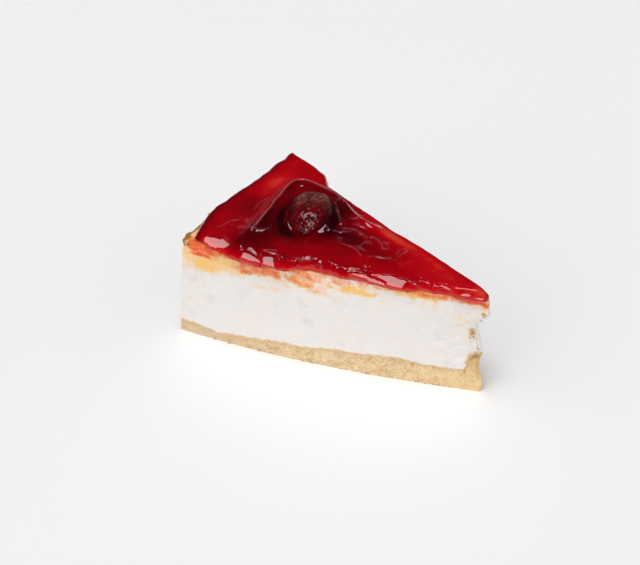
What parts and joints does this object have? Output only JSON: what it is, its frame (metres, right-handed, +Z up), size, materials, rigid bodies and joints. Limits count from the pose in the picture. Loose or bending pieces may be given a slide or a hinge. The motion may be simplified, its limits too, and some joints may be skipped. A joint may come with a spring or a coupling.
{
  "type": "strawberry cheesecake slice",
  "caption": "Wedge of baked cheesecake on a biscuit base, topped with glossy strawberry jelly and one whole strawberry.",
  "frame": {"origin": "under the middle of the slice's box, on the flat underside of the biscuit base", "axes": "+X from the rim towards the pointed tip, -Y towards the cut face that shows the layers, +Z up"},
  "size_m": [0.1234, 0.0712, 0.0553],
  "materials": {
    "biscuit": "pressed biscuit crumb, matte and sandy",
    "filling": "baked cheese filling, moist satin cut face with a golden skin on top",
    "jelly": "set strawberry jelly, wet high gloss",
    "berry": "cooked strawberry skin with seeds, partly glazed"
  },
  "bodies": {
    "root": {"biscuit_base": "biscuit", "cheese_filling": "filling", "strawberry_jelly": "jelly", "strawberry": "berry"}
  },
  "joints": []
}
